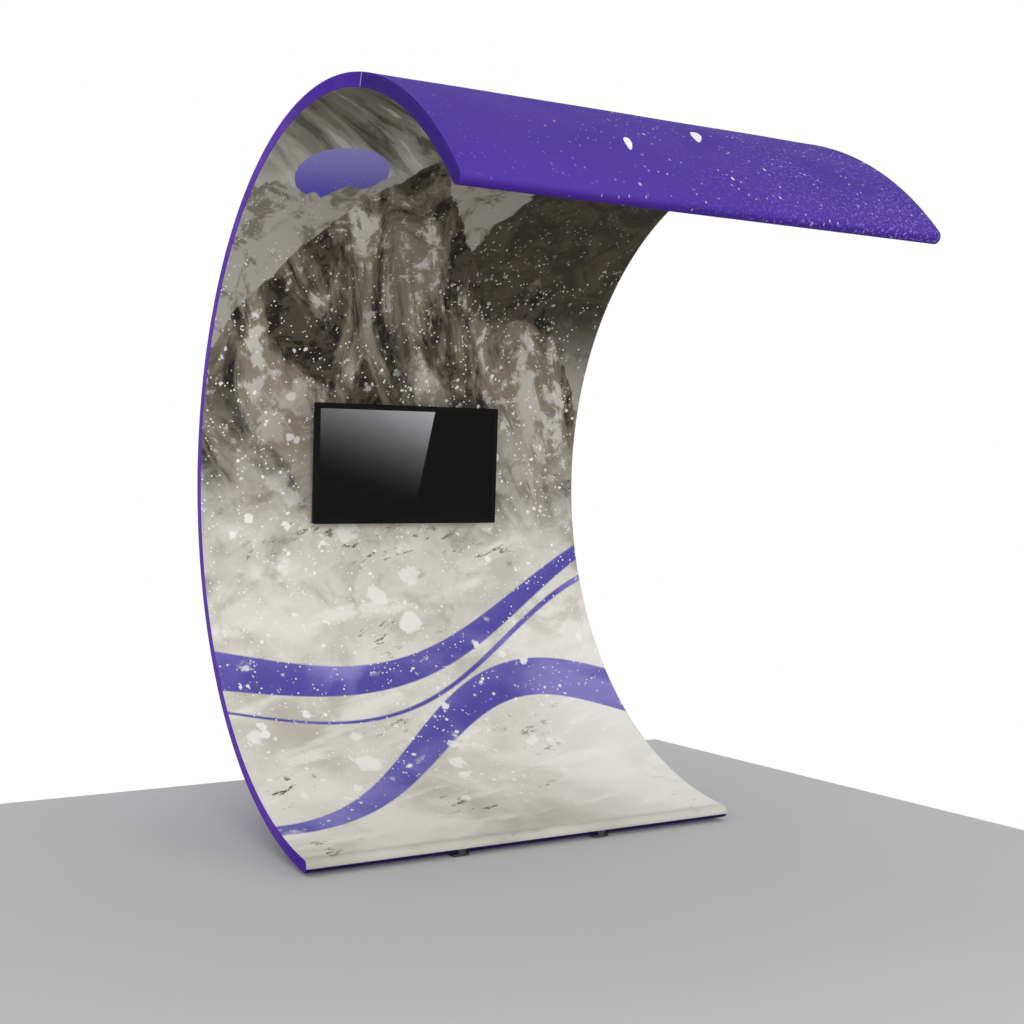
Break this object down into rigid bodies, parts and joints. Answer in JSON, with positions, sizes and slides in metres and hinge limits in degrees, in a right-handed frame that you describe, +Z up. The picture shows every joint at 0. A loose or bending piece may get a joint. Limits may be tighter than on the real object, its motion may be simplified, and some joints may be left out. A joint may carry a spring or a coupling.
{
  "type": "curved fabric display backwall",
  "caption": "Free-standing C-curved display wall: printed stretch fabric over a push-fit tube frame, with a canopy overhead and a tilting screen in front of the print.",
  "frame": {"origin": "on the floor, at the middle of the bounding box", "axes": "+X across the width to the viewer's right, -Y towards the viewer, +Z up"},
  "size_m": [1.524, 2.0056, 2.2599],
  "materials": {
    "tube": "satin anodised",
    "cast_knuckle": "cast, lightly tumbled",
    "snap_button": "bright spring steel",
    "printed_fabric": "knitted stretch polyester with a dye-sublimation print",
    "purple_fabric": "knitted stretch polyester, dyed violet with pale flecks",
    "edge_fabric": "knitted stretch polyester, dark violet",
    "zipper_tape": "woven tape, dark violet",
    "zipper_plastic": "moulded teeth",
    "zipper_metal": "black lacquer",
    "foot_steel": "dark grey powder coat",
    "foot_rubber": "matt black",
    "bolt_steel": "zinc plated",
    "mount_steel": "black powder coat",
    "knob_plastic": "moulded black",
    "bezel_plastic": "satin black",
    "screen_glass": "glossy black",
    "backlight_plastic": "pressed tray",
    "rear_cover_plastic": "fine grain black",
    "circuit_board": "solder mask green",
    "speaker_plastic": "moulded black",
    "power_button_plastic": "moulded black"
  },
  "bodies": {
    "frame": {"rib_left_1": "tube", "rib_left_2": "tube", "rib_left_3": "tube", "rib_left_4": "tube", "rib_right_1": "tube", "rib_right_2": "tube", "rib_right_3": "tube", "rib_right_4": "tube", "toe_bar": "tube", "low_bar": "tube", "screen_bar": "tube", "upper_bar": "tube", "crest_bar": "tube", "nose_bar": "tube", "corner_knuckles": "cast_knuckle", "button_spring_legs": "snap_button", "print_panel": "printed_fabric", "outer_panel": "purple_fabric", "gusset_left": "edge_fabric", "gusset_right": "edge_fabric", "toe_hem": "edge_fabric", "zipper_tapes": "zipper_tape", "zipper_teeth": "zipper_plastic", "foot_left": "foot_steel", "foot_right": "foot_steel", "foot_pads": "foot_rubber", "toe_saddles": "foot_steel", "rear_posts": "foot_steel", "foot_bolts": "bolt_steel", "foot_nuts": "bolt_steel", "bar_clamps": "mount_steel", "clamp_caps": "mount_steel", "mount_bolts": "bolt_steel", "mount_plate": "mount_steel", "tilt_pin": "bolt_steel"},
    "screen": {"tilt_head": "mount_steel", "vesa_screws": "bolt_steel", "screen_bezel": "bezel_plastic", "screen_glass": "screen_glass", "screen_backlight": "backlight_plastic", "screen_rear_cover": "rear_cover_plastic", "screen_boards": "circuit_board", "screen_speakers": "speaker_plastic"},
    "snap_button_left_1": {"snap_button_left_1": "snap_button"},
    "snap_button_left_2": {"snap_button_left_2": "snap_button"},
    "snap_button_left_3": {"snap_button_left_3": "snap_button"},
    "snap_button_right_1": {"snap_button_right_1": "snap_button"},
    "snap_button_right_2": {"snap_button_right_2": "snap_button"},
    "snap_button_right_3": {"snap_button_right_3": "snap_button"},
    "snap_button_toe_bar": {"snap_button_toe_bar": "snap_button"},
    "snap_button_low_bar": {"snap_button_low_bar": "snap_button"},
    "snap_button_screen_bar": {"snap_button_screen_bar": "snap_button"},
    "snap_button_upper_bar": {"snap_button_upper_bar": "snap_button"},
    "snap_button_crest_bar": {"snap_button_crest_bar": "snap_button"},
    "snap_button_nose_bar": {"snap_button_nose_bar": "snap_button"},
    "zipper_slider": {"zipper_slider": "zipper_metal"},
    "zipper_pull": {"zipper_pull": "zipper_metal"},
    "tilt_knob": {"tilt_knob": "knob_plastic"},
    "power_button": {"power_button": "power_button_plastic"}
  },
  "joints": [
    {"name": "snap_button_left_1_press", "type": "slide", "parent": "frame", "child": "snap_button_left_1", "axis": [-1, 0, 0], "range_m": [0, 0.0043], "stiffness_N_per_m": 1500, "springref_m": -0.0015},
    {"name": "snap_button_left_2_press", "type": "slide", "parent": "frame", "child": "snap_button_left_2", "axis": [-1, 0, 0], "range_m": [0, 0.0043], "stiffness_N_per_m": 1500, "springref_m": -0.0015},
    {"name": "snap_button_left_3_press", "type": "slide", "parent": "frame", "child": "snap_button_left_3", "axis": [-1, 0, 0], "range_m": [0, 0.0043], "stiffness_N_per_m": 1500, "springref_m": -0.0015},
    {"name": "snap_button_right_1_press", "type": "slide", "parent": "frame", "child": "snap_button_right_1", "axis": [1, 0, 0], "range_m": [0, 0.0043], "stiffness_N_per_m": 1500, "springref_m": -0.0015},
    {"name": "snap_button_right_2_press", "type": "slide", "parent": "frame", "child": "snap_button_right_2", "axis": [1, 0, 0], "range_m": [0, 0.0043], "stiffness_N_per_m": 1500, "springref_m": -0.0015},
    {"name": "snap_button_right_3_press", "type": "slide", "parent": "frame", "child": "snap_button_right_3", "axis": [1, 0, 0], "range_m": [0, 0.0043], "stiffness_N_per_m": 1500, "springref_m": -0.0015},
    {"name": "snap_button_toe_bar_press", "type": "slide", "parent": "frame", "child": "snap_button_toe_bar", "axis": [0, -0.9956, -0.0941], "range_m": [0, 0.0043], "stiffness_N_per_m": 1500, "springref_m": -0.0015},
    {"name": "snap_button_low_bar_press", "type": "slide", "parent": "frame", "child": "snap_button_low_bar", "axis": [0, -0.766, -0.6428], "range_m": [0, 0.0043], "stiffness_N_per_m": 1500, "springref_m": -0.0015},
    {"name": "snap_button_screen_bar_press", "type": "slide", "parent": "frame", "child": "snap_button_screen_bar", "axis": [0, 0.0906, -0.9959], "range_m": [0, 0.0043], "stiffness_N_per_m": 1500, "springref_m": -0.0015},
    {"name": "snap_button_upper_bar_press", "type": "slide", "parent": "frame", "child": "snap_button_upper_bar", "axis": [0, 0.809, -0.5878], "range_m": [0, 0.0043], "stiffness_N_per_m": 1500, "springref_m": -0.0015},
    {"name": "snap_button_crest_bar_press", "type": "slide", "parent": "frame", "child": "snap_button_crest_bar", "axis": [0, 0.9976, 0.0698], "range_m": [0, 0.0043], "stiffness_N_per_m": 1500, "springref_m": -0.0015},
    {"name": "snap_button_nose_bar_press", "type": "slide", "parent": "frame", "child": "snap_button_nose_bar", "axis": [0, -0.632, -0.7749], "range_m": [0, 0.0043], "stiffness_N_per_m": 1500, "springref_m": -0.0015},
    {"name": "zipper_slide", "type": "slide", "parent": "frame", "child": "zipper_slider", "axis": [-1, 0, 0], "range_m": [0, 1.386]},
    {"name": "zipper_pull_swing", "type": "hinge", "parent": "zipper_slider", "child": "zipper_pull", "pos_m": [0.693, 0.12261, 0.02616], "axis": [0, 0.9759, 0.218], "range_deg": [-80, 80]},
    {"name": "screen_tilt", "type": "hinge", "parent": "frame", "child": "screen", "pos_m": [0, 0.93348, 1.23282], "axis": [1, 0, 0], "range_deg": [-3.54, 8]},
    {"name": "tilt_knob_turn", "type": "hinge", "parent": "frame", "child": "tilt_knob", "pos_m": [0.0713, 0.93348, 1.23282], "axis": [1, 0, 0], "range_deg": [0, 270]},
    {"name": "power_button_press", "type": "slide", "parent": "screen", "child": "power_button", "axis": [0, -0.0617, 0.9981], "range_m": [0, 0.001], "stiffness_N_per_m": 1500, "springref_m": -0.0005}
  ]
}
